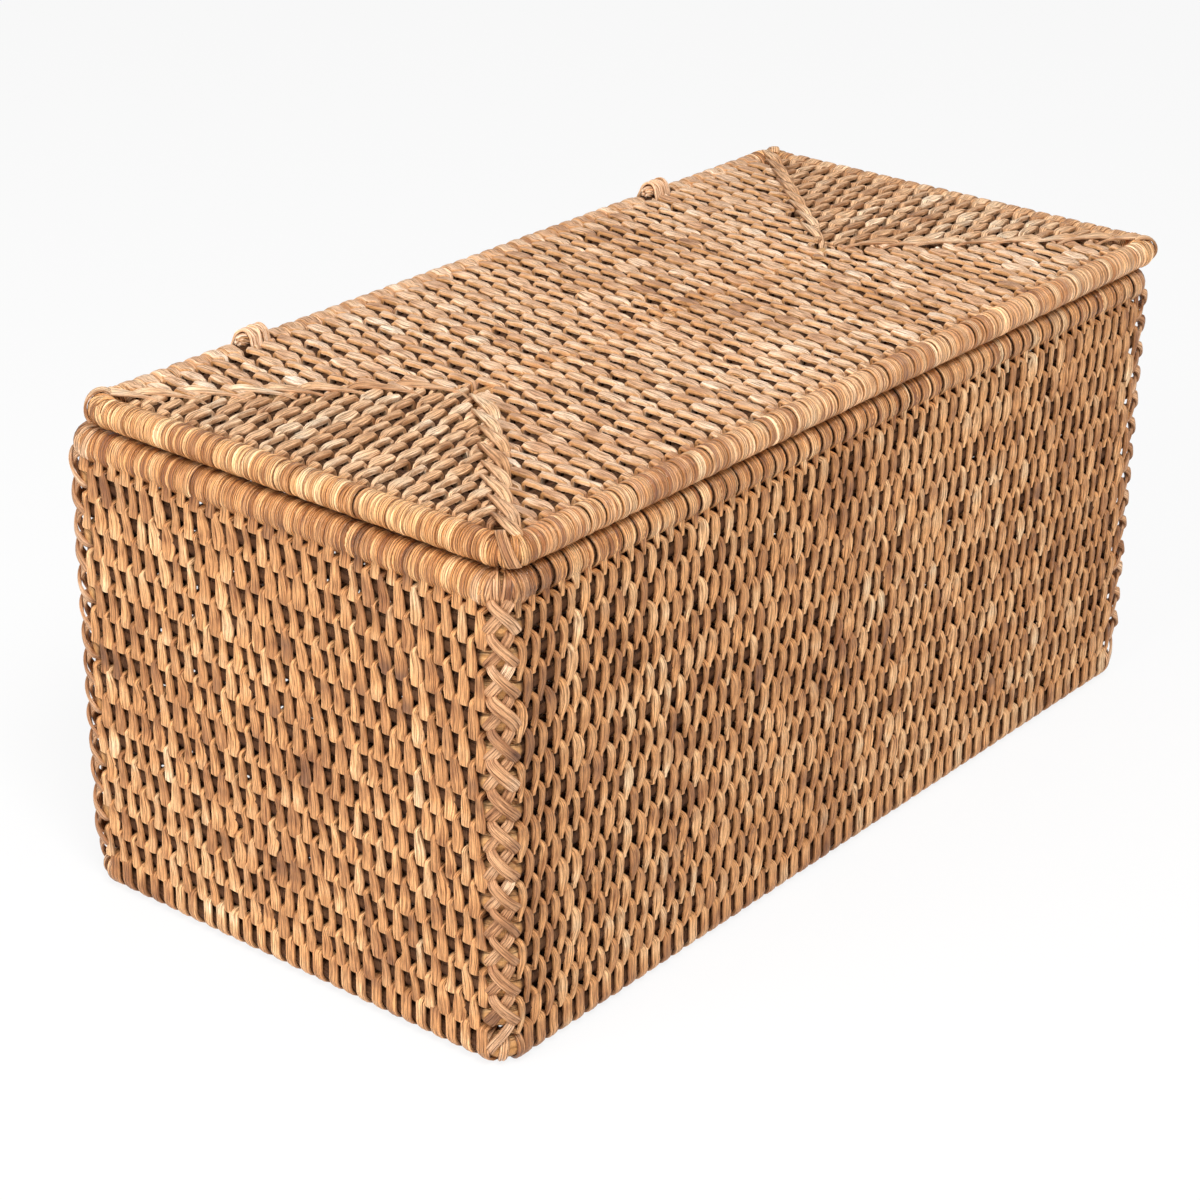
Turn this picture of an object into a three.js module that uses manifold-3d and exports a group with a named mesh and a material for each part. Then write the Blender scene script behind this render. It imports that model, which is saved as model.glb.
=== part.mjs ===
// A lidded rattan box: bent core rods held by woven cane strips, with a lid on two cane loops
// that are bound to the lid's rear pole and turn round the basket's.
// Millimetres. +X runs along the long side, -Y is the front, +Z is up, and the box stands on z = 0.
import * as THREE from 'three';
import { mergeVertices } from 'three/addons/utils/BufferGeometryUtils.js';
import Module from 'manifold-3d';

const wasm = await Module();
wasm.setup();

// Driving dimensions of the basket
const bodyLength = 304;
const bodyWidth = 154;
const bodyHeight = 137.1;
const bodyCornerRadius = 9.3;
const bodyPoleRadius = 3.8;
const wallRodRadius = 2.9;
const wallRodCount = 14;

// Driving dimensions of the lid, which lies over the front and stops short of the back
const lidCornerRadius = 9.3;
const lidPoleRadius = 3.1;
const lidFrontOverhang = 1.3;
const lidBackInset = 4.7;
const lidSideShift = 1.5;
const lidRestGap = 0.5;

// Driving dimensions of the mitred mats that close the lid and the bottom
const matRodRadius = 2.6;
const matRingCount = 8;
const matCornerRadius = 3;
const mitreGap = 0.28;

// Driving dimensions of the cane
const stripThickness = 0.9;
const valleyDepth = 1.6;
const crestWidth = 3;
const runningGap = 0.3;
const seamWidth = 3.4;

// Driving dimensions of the hinge loops
const hingeSpacing = 178;
const hingeCaneRadius = 1.1;
const hingeTurns = 3;
const hingeTurnPitch = 2.9;
const knotRadius = 1.9;

// Facets
const poleSides = 8;
const rodSides = 6;
const wallBendSteps = 2;
const matBendSteps = 1;
const outlineSteps = 3;
const stepsPerTurn = 20;
const caneSides = 6;
const knotSides = 8;

// Vertices closer than this are one, and a cutting shape runs this far past what it cuts
const weldDistance = 0.0001;
const cutMargin = 1;

// Sizes that follow: a strip lies over each rod with a gap
const stripStack = runningGap + stripThickness;
const bodyPoleWrap = bodyPoleRadius + stripStack;
const wallHalf = wallRodRadius + stripStack;
const lidPoleWrap = lidPoleRadius + stripStack;
const matHalf = matRodRadius + stripStack;

// Beside a pole the first rod leaves room for the hinge cane
const caneRoom = 2 * hingeCaneRadius + 2 * runningGap;
const wallPoleSpacing = bodyPoleRadius + caneRoom + wallRodRadius;
const lidPoleSpacing = lidPoleRadius + caneRoom + matRodRadius;

const topPoleZ = bodyHeight - bodyPoleWrap;
const bottomPoleZ = bodyPoleWrap;
const wallTopRodZ = topPoleZ - wallPoleSpacing;
const wallBottomRodZ = bottomPoleZ + wallPoleSpacing;
const wallRodPitch = (wallTopRodZ - wallBottomRodZ) / (wallRodCount - 1);

// A wall's weave ends where the next wall's rim begins, or where the corner does
const wallEndInset = Math.max(bodyCornerRadius, 2 * bodyPoleWrap) + runningGap;

const lidLength = bodyLength;
const lidWidth = bodyWidth + lidFrontOverhang - lidBackInset;
const lidZ = bodyHeight + lidRestGap + lidPoleWrap;
const lidCentreY = (lidBackInset + lidFrontOverhang) / -2;
const lidPoleY = lidCentreY + lidWidth / 2 - lidPoleWrap;
const bodyPoleY = bodyWidth / 2 - bodyPoleWrap;
const knotZ = lidZ + lidPoleRadius + runningGap + knotRadius;
const tallest = knotZ + knotRadius + runningGap + 2 * hingeCaneRadius;

const caneColour = new THREE.Color(0.72, 0.48, 0.27);
const rodColour = new THREE.Color(0.8, 0.6, 0.38);
const lacingColour = new THREE.Color(0.76, 0.53, 0.31);
const caneMaterial = new THREE.MeshStandardMaterial({ color: caneColour, roughness: 0.6, metalness: 0 });
const rodMaterial = new THREE.MeshStandardMaterial({ color: rodColour, roughness: 0.75, metalness: 0 });
const lacingMaterial = new THREE.MeshStandardMaterial({ color: lacingColour, roughness: 0.62, metalness: 0 });

function toSolid(geometry) {
  const bare = geometry.clone();
  bare.deleteAttribute('normal');
  bare.deleteAttribute('uv');
  const merged = mergeVertices(bare, weldDistance);
  const vertProperties = new Float32Array(merged.attributes.position.array);
  const triVerts = new Uint32Array(merged.index.array);
  return new wasm.Manifold(new wasm.Mesh({ numProp: 3, vertProperties, triVerts }));
}

function toGeometry(solid) {
  const mesh = solid.getMesh();
  const geometry = new THREE.BufferGeometry();
  const positions = new Float32Array(mesh.numVert * 3);
  for (let vertex = 0; vertex < mesh.numVert; vertex += 1) {
    for (let axis = 0; axis < 3; axis += 1) {
      positions[vertex * 3 + axis] = mesh.vertProperties[vertex * mesh.numProp + axis];
    }
  }
  geometry.setAttribute('position', new THREE.BufferAttribute(positions, 3));
  geometry.setIndex(new THREE.BufferAttribute(new Uint32Array(mesh.triVerts), 1));
  geometry.computeVertexNormals();
  return geometry;
}

function named(name, geometry, material) {
  const mesh = new THREE.Mesh(geometry, material);
  mesh.name = name;
  return mesh;
}

// Rings of vertices are joined into a tube, closed on itself or capped at both ends.
function skin(rings, closed) {
  const sides = rings[0].length;
  const positions = rings.flat().flatMap((point) => [point.x, point.y, point.z]);
  const index = [];
  const spans = closed ? rings.length : rings.length - 1;
  for (let ring = 0; ring < spans; ring += 1) {
    const here = ring * sides;
    const next = ((ring + 1) % rings.length) * sides;
    for (let side = 0; side < sides; side += 1) {
      const beside = (side + 1) % sides;
      index.push(here + side, next + beside, here + beside);
      index.push(here + side, next + side, next + beside);
    }
  }
  if (!closed) {
    const last = (rings.length - 1) * sides;
    for (let side = 1; side < sides - 1; side += 1) {
      index.push(0, side, side + 1);
      index.push(last, last + side + 1, last + side);
    }
  }
  const geometry = new THREE.BufferGeometry();
  geometry.setAttribute('position', new THREE.Float32BufferAttribute(positions, 3));
  geometry.setIndex(index);
  geometry.computeVertexNormals();
  return geometry;
}

// The circle of a tube's section round a point, in the plane of two directions.
function sectionRing(centre, across, up, radius, sides) {
  const ring = [];
  for (let side = 0; side < sides; side += 1) {
    const angle = Math.PI / 2 + ((side + 0.5) / sides) * 2 * Math.PI;
    const point = centre.clone();
    point.addScaledVector(across, Math.cos(angle) * radius);
    point.addScaledVector(up, Math.sin(angle) * radius);
    ring.push(point);
  }
  return ring;
}

// A rod bent into a flat rounded rectangle whose centre line is halfX by halfY.
function bentRod(halfX, halfY, bendRadius, z, radius, sides, bendSteps) {
  const up = new THREE.Vector3(0, 0, 1);
  const rings = [];
  for (let corner = 0; corner < 4; corner += 1) {
    const signX = corner === 0 || corner === 3 ? 1 : -1;
    const signY = corner < 2 ? 1 : -1;
    const centreX = signX * (halfX - bendRadius);
    const centreY = signY * (halfY - bendRadius);
    for (let step = 0; step <= bendSteps; step += 1) {
      const angle = ((corner + step / bendSteps) * Math.PI) / 2;
      const outward = new THREE.Vector3(Math.cos(angle), Math.sin(angle), 0);
      const middle = new THREE.Vector3(centreX, centreY, z).addScaledVector(outward, bendRadius);
      rings.push(sectionRing(middle, outward, up, radius, sides));
    }
  }
  return skin(rings, true);
}

function straightRod(halfLength, z, radius, sides) {
  const across = new THREE.Vector3(0, -1, 0);
  const up = new THREE.Vector3(0, 0, 1);
  const ends = [-halfLength, halfLength].map((x) => new THREE.Vector3(x, 0, z));
  return skin(ends.map((end) => sectionRing(end, across, up, radius, sides)), false);
}

// An octagon's corners, from the bottom flat round to the top flat, on one side of a pole.
function poleFlank(centreU, centreV, wrap, side) {
  const flat = wrap * Math.tan(Math.PI / 8);
  return [
    new THREE.Vector2(centreU + side * flat, centreV - wrap),
    new THREE.Vector2(centreU + side * wrap, centreV - flat),
    new THREE.Vector2(centreU + side * wrap, centreV + flat),
    new THREE.Vector2(centreU + side * flat, centreV + wrap),
  ];
}

// The ribbed face of a wall: one crest on each rod and a valley between them.
function wallFace(heights, crestU, valleyU) {
  const points = [new THREE.Vector2(valleyU, heights[0] - wallRodPitch / 2)];
  for (const height of heights) {
    points.push(new THREE.Vector2(crestU, height - crestWidth / 2));
    points.push(new THREE.Vector2(crestU, height + crestWidth / 2));
    points.push(new THREE.Vector2(valleyU, height + wallRodPitch / 2));
  }
  return points;
}

function wallRodHeights() {
  return Array.from({ length: wallRodCount }, (_, row) => wallBottomRodZ + row * wallRodPitch);
}

// The section of a wall, where u is the depth below its outer face and v is the height.
function wallShape() {
  const heights = wallRodHeights();
  const outer = [
    ...poleFlank(bodyPoleWrap, bottomPoleZ, bodyPoleWrap, -1),
    ...wallFace(heights, 0, valleyDepth),
    ...poleFlank(bodyPoleWrap, topPoleZ, bodyPoleWrap, -1),
  ];
  const inner = [
    ...poleFlank(bodyPoleWrap, bottomPoleZ, bodyPoleWrap, 1),
    ...wallFace(heights, 2 * wallHalf, 2 * wallHalf - valleyDepth),
    ...poleFlank(bodyPoleWrap, topPoleZ, bodyPoleWrap, 1),
  ];
  return new THREE.Shape([...inner, ...outer.reverse()]);
}

function wallPanel(halfSpan, distance, angle) {
  const depth = 2 * halfSpan;
  const geometry = new THREE.ExtrudeGeometry(wallShape(), { depth, bevelEnabled: false });
  const across = new THREE.Vector3(0, 1, 0);
  const up = new THREE.Vector3(0, 0, 1);
  const along = new THREE.Vector3(1, 0, 0);
  geometry.applyMatrix4(new THREE.Matrix4().makeBasis(across, up, along));
  geometry.translate(-halfSpan, -distance, 0);
  geometry.rotateZ(angle);
  return toSolid(geometry);
}

// A flat plate with square edges, from one plan outline and two heights.
function slab(shape, low, high) {
  const settings = { depth: high - low, bevelEnabled: false, curveSegments: outlineSteps };
  const geometry = new THREE.ExtrudeGeometry(shape, settings);
  geometry.translate(0, 0, low);
  return toSolid(geometry);
}

function block(minimum, maximum) {
  const size = maximum.clone().sub(minimum);
  const geometry = new THREE.BoxGeometry(size.x, size.y, size.z);
  const middle = minimum.clone().add(maximum).multiplyScalar(0.5);
  geometry.translate(middle.x, middle.y, middle.z);
  return toSolid(geometry);
}

function roundedPlan(halfX, halfY, radius) {
  const shape = new THREE.Shape();
  shape.absarc(halfX - radius, halfY - radius, radius, 0, Math.PI / 2);
  shape.absarc(radius - halfX, halfY - radius, radius, Math.PI / 2, Math.PI);
  shape.absarc(radius - halfX, radius - halfY, radius, Math.PI, 1.5 * Math.PI);
  shape.absarc(halfX - radius, radius - halfY, radius, 1.5 * Math.PI, 2 * Math.PI);
  return shape;
}

// Mats are described by the inset of each rod from their outer edge, the pole's own rod first.
function matInsets(halfY, firstInset) {
  const pitch = (halfY - firstInset) / matRingCount;
  return Array.from({ length: matRingCount + 1 }, (_, ring) => firstInset + ring * pitch);
}

// The upper ribbed line of half a mat, from its outer edge to its middle.
function matRibs(insets) {
  const pitch = insets[1] - insets[0];
  const points = [];
  for (const inset of insets) {
    points.push(new THREE.Vector2(inset - pitch / 2, matHalf - valleyDepth));
    points.push(new THREE.Vector2(inset - crestWidth / 2, matHalf));
    points.push(new THREE.Vector2(inset + crestWidth / 2, matHalf));
  }
  return points;
}

function lidEdge() {
  const flat = lidPoleWrap * Math.tan(Math.PI / 8);
  return [
    new THREE.Vector2(0, flat),
    new THREE.Vector2(lidPoleWrap - flat, lidPoleWrap),
    new THREE.Vector2(lidPoleWrap + flat, lidPoleWrap),
  ];
}

function mirrorLine(points) {
  return points.map((point) => new THREE.Vector2(point.x, -point.y)).reverse();
}

// A mat's weave where its strips run across Y: the ribs run along X over the whole length.
function ribbedPlate(edge, insets, halfAcross, halfAlong, z) {
  const upperHalf = [...edge, ...matRibs(insets)].map((p) => new THREE.Vector2(p.x - halfAcross, p.y));
  const ridge = upperHalf.pop();
  const farHalf = upperHalf.map((p) => new THREE.Vector2(-p.x, p.y)).reverse();
  const upper = [...upperHalf, new THREE.Vector2(0, ridge.y), ...farHalf];
  const shape = new THREE.Shape([...upper, ...mirrorLine(upper)]);
  const geometry = new THREE.ExtrudeGeometry(shape, { depth: 2 * halfAlong, bevelEnabled: false });
  const across = new THREE.Vector3(0, 1, 0);
  const up = new THREE.Vector3(0, 0, 1);
  const along = new THREE.Vector3(1, 0, 0);
  geometry.applyMatrix4(new THREE.Matrix4().makeBasis(across, up, along));
  geometry.translate(-halfAlong, 0, z);
  return geometry;
}

// The triangle of the plan at one end of a mat, between its two mitres.
function endWedge(halfX, halfY, side, shift, low, high) {
  const reach = halfY;
  const apex = side * (halfX - halfY - shift);
  const base = side * (halfX + reach - shift);
  const half = halfY + reach;
  const corners = [
    new THREE.Vector2(apex, 0),
    new THREE.Vector2(base, -half),
    new THREE.Vector2(base, half),
  ];
  if (side < 0) {
    corners.reverse();
  }
  return slab(new THREE.Shape(corners), low, high);
}

// The three weaves of a mat: the middle one runs front to back, the end ones run side to side.
function matWeaves(mat) {
  const low = mat.z - mat.edgeHalf - cutMargin;
  const high = mat.z + mat.edgeHalf + cutMargin;
  const shift = mitreGap / Math.SQRT2;
  const plan = slab(roundedPlan(mat.halfX, mat.halfY, mat.cornerRadius), low, high);
  const middlePlate = toSolid(ribbedPlate(mat.edge, mat.insets, mat.halfY, mat.halfX, mat.z));
  const endGeometry = ribbedPlate(mat.edge, mat.insets, mat.halfY, mat.halfY, mat.z);
  endGeometry.rotateZ(-Math.PI / 2);
  const weaves = {};
  let middle = middlePlate.intersect(plan);
  for (const [label, side] of [['left', -1], ['right', 1]]) {
    const shifted = endGeometry.clone().translate(side * (mat.halfX - mat.halfY), 0, 0);
    const piece = endWedge(mat.halfX, mat.halfY, side, -shift, low, high);
    weaves[label] = toSolid(shifted).intersect(plan).intersect(piece);
    middle = middle.subtract(endWedge(mat.halfX, mat.halfY, side, shift, low, high));
  }
  weaves.middle = middle;
  return weaves;
}

// The rings of rod inside a mat, drawn as thick as asked, so that the same call cuts their tunnels.
function matRing(mat, ring, extra) {
  const inset = mat.insets[ring];
  const sides = rodSides;
  const radius = matRodRadius + extra;
  return bentRod(mat.halfX - inset, mat.halfY - inset, matCornerRadius, mat.z, radius, sides, matBendSteps);
}

function matMiddleRod(mat, extra) {
  return straightRod(mat.halfX - mat.halfY + matRodRadius, mat.z, matRodRadius + extra, rodSides);
}

function cutMatTunnels(mat, weaves) {
  const tools = [toSolid(matMiddleRod({ ...mat, halfX: mat.halfX + runningGap }, runningGap))];
  for (let ring = 0; ring < matRingCount; ring += 1) {
    tools.push(toSolid(matRing(mat, ring, runningGap)));
  }
  for (const label of Object.keys(weaves)) {
    for (const tool of tools) {
      weaves[label] = weaves[label].subtract(tool);
    }
  }
}

function addMatRods(group, mat, prefix) {
  for (let ring = 0; ring < matRingCount; ring += 1) {
    group.add(named(`${prefix}_rod_ring_${ring + 1}`, matRing(mat, ring, 0), rodMaterial));
  }
  group.add(named(`${prefix}_middle_rod`, matMiddleRod(mat, 0), rodMaterial));
}

// The rods of the walls, each bent round all four corners.
function wallRing(z, inset, radius, sides) {
  const halfX = bodyLength / 2 - inset;
  const halfY = bodyWidth / 2 - inset;
  return bentRod(halfX, halfY, bodyCornerRadius - inset, z, radius, sides, wallBendSteps);
}

function wallRods() {
  const rods = [
    { name: 'bottom_pole', z: bottomPoleZ, inset: bodyPoleWrap, radius: bodyPoleRadius, sides: poleSides },
    { name: 'top_rim_pole', z: topPoleZ, inset: bodyPoleWrap, radius: bodyPoleRadius, sides: poleSides },
  ];
  wallRodHeights().forEach((z, row) => {
    rods.push({ name: `wall_rod_${row + 1}`, z, inset: wallHalf, radius: wallRodRadius, sides: rodSides });
  });
  return rods;
}

// The lacing that covers the bent rods at a corner, from the bottom pole to the rim pole.
function cornerLacing(signX, signY) {
  const outer = bodyCornerRadius;
  const inner = outer - stripThickness;
  const tail = wallEndInset - runningGap - outer;
  const shape = new THREE.Shape();
  shape.moveTo(outer, -tail);
  shape.absarc(0, 0, outer, 0, Math.PI / 2);
  shape.lineTo(-tail, outer);
  shape.lineTo(-tail, inner);
  shape.absarc(0, 0, inner, Math.PI / 2, 0, true);
  shape.lineTo(inner, -tail);
  const settings = { depth: topPoleZ - bottomPoleZ, bevelEnabled: false, curveSegments: outlineSteps };
  const geometry = new THREE.ExtrudeGeometry(shape, settings);
  geometry.rotateZ(Math.atan2(signY, signX) - Math.PI / 4);
  const x = signX * (bodyLength / 2 - outer);
  const y = signY * (bodyWidth / 2 - outer);
  geometry.translate(x, y, bottomPoleZ);
  return geometry;
}

// What a hinge loop goes round: both rear poles, and the knot that lies on the lid's.
function hingeCores(x) {
  return [
    { middle: new THREE.Vector3(x, bodyPoleY, topPoleZ), radius: bodyPoleRadius },
    { middle: new THREE.Vector3(x, lidPoleY, lidZ), radius: lidPoleRadius },
    { middle: new THREE.Vector3(x, lidPoleY, knotZ), radius: knotRadius },
  ];
}

// The taut band round those cores, as a point for each angle.
function hingeLine(angle, x) {
  const outward = new THREE.Vector3(0, Math.cos(angle), Math.sin(angle));
  const points = hingeCores(x).map((core) => {
    return core.middle.addScaledVector(outward, core.radius + runningGap + hingeCaneRadius);
  });
  return points.reduce((best, point) => (point.dot(outward) > best.dot(outward) ? point : best));
}

function hingeCentres(x) {
  const steps = hingeTurns * stepsPerTurn;
  const width = hingeTurns * hingeTurnPitch;
  const points = [];
  for (let step = 0; step <= steps; step += 1) {
    const angle = (step / stepsPerTurn) * 2 * Math.PI;
    points.push(hingeLine(angle, x - width / 2 + (width * step) / steps));
  }
  return points;
}

function hingeLoop(x) {
  const along = new THREE.Vector3(1, 0, 0);
  const rings = hingeCentres(x).map((point, step) => {
    const angle = (step / stepsPerTurn) * 2 * Math.PI;
    const outward = new THREE.Vector3(0, Math.cos(angle), Math.sin(angle));
    return sectionRing(point, outward, along, hingeCaneRadius, caneSides);
  });
  return skin(rings, false);
}

function hingeKnot(x) {
  const halfLength = (hingeTurns * hingeTurnPitch) / 2 + hingeCaneRadius;
  const geometry = straightRod(halfLength, knotZ, knotRadius, knotSides);
  geometry.translate(x, lidPoleY, 0);
  return geometry;
}

// The least distance between the surfaces of neighbouring turns.
function leastTurnGap(points) {
  let least = Infinity;
  for (let first = 0; first < points.length; first += 1) {
    for (let second = first + stepsPerTurn / 2; second < points.length; second += 1) {
      least = Math.min(least, points[first].distanceTo(points[second]) - 2 * hingeCaneRadius);
    }
  }
  return least;
}

// The window through a weave where a hinge loop passes round a pole.
function hingeWindow(x, y, z, reachY, reachZ) {
  const halfWidth = (hingeTurns * hingeTurnPitch) / 2 + hingeCaneRadius + runningGap;
  const low = new THREE.Vector3(x - halfWidth, y - reachY.behind, z - reachZ.below);
  const high = new THREE.Vector3(x + halfWidth, y + reachY.ahead, z + reachZ.above);
  return block(low, high);
}

function hingePlaces() {
  return [['left', -hingeSpacing / 2], ['right', hingeSpacing / 2]];
}

function wallPlaces() {
  const alongX = bodyLength / 2 - wallEndInset;
  const alongY = bodyWidth / 2 - wallEndInset;
  return [
    { name: 'front', halfSpan: alongX, distance: bodyWidth / 2, angle: 0 },
    { name: 'back', halfSpan: alongX, distance: bodyWidth / 2, angle: Math.PI },
    { name: 'left', halfSpan: alongY, distance: bodyLength / 2, angle: -Math.PI / 2 },
    { name: 'right', halfSpan: alongY, distance: bodyLength / 2, angle: Math.PI / 2 },
  ];
}

function cutBodyHinges(wall) {
  const reach = bodyPoleRadius + caneRoom;
  const reachY = { behind: 2 * bodyPoleWrap, ahead: 2 * bodyPoleWrap };
  let cut = wall;
  for (const [, x] of hingePlaces()) {
    cut = cut.subtract(hingeWindow(x, bodyPoleY, topPoleZ, reachY, { below: reach, above: reach }));
  }
  return cut;
}

function cutLidHinges(weave) {
  const reach = lidPoleRadius + caneRoom;
  const reachY = { behind: reach, ahead: 2 * lidPoleWrap };
  let cut = weave;
  for (const [, x] of hingePlaces()) {
    const place = [x - lidSideShift, lidPoleY - lidCentreY, lidZ];
    cut = cut.subtract(hingeWindow(...place, reachY, { below: reach, above: reach }));
  }
  return cut;
}

function buildWalls(group) {
  const rods = wallRods();
  const tunnelRing = (rod) => wallRing(rod.z, rod.inset, rod.radius + runningGap, rod.sides);
  const tunnels = rods.map((rod) => toSolid(tunnelRing(rod)));
  for (const rod of rods) {
    group.add(named(rod.name, wallRing(rod.z, rod.inset, rod.radius, rod.sides), rodMaterial));
  }
  for (const place of wallPlaces()) {
    let wall = wallPanel(place.halfSpan, place.distance, place.angle);
    for (const tunnel of tunnels) {
      wall = wall.subtract(tunnel);
    }
    if (place.name === 'back') {
      wall = cutBodyHinges(wall);
    }
    group.add(named(`${place.name}_wall_weave`, toGeometry(wall), caneMaterial));
  }
  for (const [sideName, signX] of [['left', -1], ['right', 1]]) {
    for (const [faceName, signY] of [['front', -1], ['back', 1]]) {
      const name = `${faceName}_${sideName}_corner_lacing`;
      group.add(named(name, cornerLacing(signX, signY), lacingMaterial));
    }
  }
}

function buildBottom(group) {
  const edgeInset = 2 * bodyPoleWrap + runningGap;
  const halfX = bodyLength / 2 - edgeInset;
  const halfY = bodyWidth / 2 - edgeInset;
  const firstInset = bodyPoleWrap + wallPoleSpacing - edgeInset;
  const insets = matInsets(halfY, firstInset);
  const edge = [new THREE.Vector2(0, matHalf - valleyDepth)];
  const section = { edge, insets, edgeHalf: matHalf };
  const mat = { halfX, halfY, z: bottomPoleZ, cornerRadius: matCornerRadius, ...section };
  const weaves = matWeaves(mat);
  cutMatTunnels(mat, weaves);
  for (const label of ['middle', 'left', 'right']) {
    group.add(named(`bottom_weave_${label}`, toGeometry(weaves[label]), caneMaterial));
  }
  addMatRods(group, mat, 'bottom');
}

// One strip that is sewn over a mitre of the lid, from beside the rim to near the ridge point.
function seamStrip(mat, signX, signY) {
  const start = 2 * lidPoleWrap;
  const end = mat.halfY - seamWidth;
  const geometry = new THREE.BoxGeometry((end - start) * Math.SQRT2, seamWidth, stripThickness);
  geometry.rotateZ(Math.atan2(signY, signX));
  const middle = (start + end) / 2;
  const z = mat.z + matHalf + runningGap + stripThickness / 2;
  geometry.translate(signX * (mat.halfX - middle), signY * (mat.halfY - middle), z);
  return geometry;
}

function seamPlaces() {
  const places = [];
  for (const [sideName, signX] of [['left', -1], ['right', 1]]) {
    for (const [faceName, signY] of [['front', -1], ['back', 1]]) {
      places.push({ name: `lid_${faceName}_${sideName}_seam`, signX, signY });
    }
  }
  return places;
}

function buildLid(group) {
  const halfX = lidLength / 2;
  const halfY = lidWidth / 2;
  const insets = matInsets(halfY, lidPoleWrap + lidPoleSpacing);
  const section = { edge: lidEdge(), insets, edgeHalf: lidPoleWrap };
  const mat = { halfX, halfY, z: lidZ, cornerRadius: lidCornerRadius, ...section };
  const weaves = matWeaves(mat);
  cutMatTunnels(mat, weaves);
  const poleBend = lidCornerRadius - lidPoleWrap;
  const poleCentre = [halfX - lidPoleWrap, halfY - lidPoleWrap, poleBend, lidZ];
  const poleTunnel = toSolid(bentRod(...poleCentre, lidPoleRadius + runningGap, poleSides, wallBendSteps));
  for (const label of ['middle', 'left', 'right']) {
    const weave = weaves[label].subtract(poleTunnel);
    const finished = label === 'middle' ? cutLidHinges(weave) : weave;
    group.add(named(`lid_weave_${label}`, toGeometry(finished), caneMaterial));
  }
  const pole = bentRod(...poleCentre, lidPoleRadius, poleSides, wallBendSteps);
  group.add(named('lid_rim_pole', pole, rodMaterial));
  addMatRods(group, mat, 'lid');
  for (const seam of seamPlaces()) {
    group.add(named(seam.name, seamStrip(mat, seam.signX, seam.signY), lacingMaterial));
  }
}

function buildHinges(group) {
  for (const [label, x] of hingePlaces()) {
    group.add(named(`${label}_hinge_loop`, hingeLoop(x), lacingMaterial));
    group.add(named(`${label}_hinge_knot`, hingeKnot(x), lacingMaterial));
  }
  const gap = leastTurnGap(hingeCentres(0));
  console.log(`least gap between turns of a hinge loop: ${gap.toFixed(2)} mm`);
}

const basket = new THREE.Group();
buildWalls(basket);
buildBottom(basket);

const lid = new THREE.Group();
buildLid(lid);
lid.position.set(lidSideShift, lidCentreY, 0);

const hinges = new THREE.Group();
buildHinges(hinges);

// The whole box is centred on its footprint: the lid sits a little to the right and over the front.
const hingeBack = bodyPoleY + bodyPoleRadius + runningGap + 2 * hingeCaneRadius;
const backEdge = Math.max(bodyWidth / 2, hingeBack, lidCentreY + lidWidth / 2);
const frontEdge = Math.min(-bodyWidth / 2, lidCentreY - lidWidth / 2);
const rightEdge = Math.max(bodyLength / 2, lidSideShift + lidLength / 2);
const leftEdge = Math.min(-bodyLength / 2, lidSideShift - lidLength / 2);

const box = new THREE.Group();
box.name = 'rattan_box';
box.add(basket, lid, hinges);
box.position.set(-(rightEdge + leftEdge) / 2, -(backEdge + frontEdge) / 2, 0);

console.log(`closed height: ${tallest.toFixed(2)} mm`);

export default box;
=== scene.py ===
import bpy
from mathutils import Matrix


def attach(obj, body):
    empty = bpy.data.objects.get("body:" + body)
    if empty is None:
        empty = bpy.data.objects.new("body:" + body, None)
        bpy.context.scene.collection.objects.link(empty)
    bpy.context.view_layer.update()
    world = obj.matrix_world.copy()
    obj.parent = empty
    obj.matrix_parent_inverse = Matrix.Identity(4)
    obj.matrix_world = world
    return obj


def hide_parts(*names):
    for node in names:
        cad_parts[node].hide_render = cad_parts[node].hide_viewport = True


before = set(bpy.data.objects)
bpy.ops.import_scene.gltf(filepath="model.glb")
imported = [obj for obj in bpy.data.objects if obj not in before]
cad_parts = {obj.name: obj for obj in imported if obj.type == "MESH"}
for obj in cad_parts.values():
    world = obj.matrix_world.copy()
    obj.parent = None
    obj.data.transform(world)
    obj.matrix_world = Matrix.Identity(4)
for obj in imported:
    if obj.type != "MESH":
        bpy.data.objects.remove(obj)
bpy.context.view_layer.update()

import math

import bpy
import numpy as np
from mathutils import Matrix, Vector

# Every length below is in millimetres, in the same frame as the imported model. Meshes are scaled to metres.
MM = 0.001

# Basket
BODY_X = -0.75
BODY_LENGTH = 304.0
BODY_WIDTH = 154.0
BODY_HEIGHT = 137.1
CORNER_RADIUS = 9.3
POLE_INSET = 5.0
POLE_RADIUS = 3.9
FOOT_RADIUS = 3.65
WALL_ROD_INSET = 4.1
WALL_ROD_RADIUS = 2.6
BENT_ROD_SWELL = 0.5
# From the middle of a wall's rods to the middle of the floats over them
WALL_FACE = 3.08
WALL_ROWS = 14
POLE_SPACING = 9.5
WALL_END = 6.9

# Lid
LID_X = 0.75
LID_Y = -3.0
LID_Z = 141.9
LID_LENGTH = 304.0
LID_WIDTH = 150.6
LID_POLE_INSET = 4.3
LID_POLE_RADIUS = 3.2
LID_FIRST_ROD = 12.8

# Seams: where the first strip starts, the reach of each in pitches of the rods, and its twist in radians
SEAM_START = 6.5
SEAM_REACH = 1.9
SEAM_THICKNESS = 0.85
SEAM_TWIST = 0.55

# Mats
BOTTOM_Z = 5.0
BOTTOM_LENGTH = 283.4
BOTTOM_WIDTH = 133.4
BOTTOM_FIRST_ROD = 4.2
MAT_ROD_RADIUS = 2.5
MAT_ROD_SWELL = 0.1
MAT_RINGS = 8
MAT_CORNER = 3.0
MITRE_GAP = 1.2
# How much thicker the strips of the mats are than those of the walls, and their play over the rods
MAT_EXTRA = 0.35
MAT_PLAY = 0.06

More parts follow.
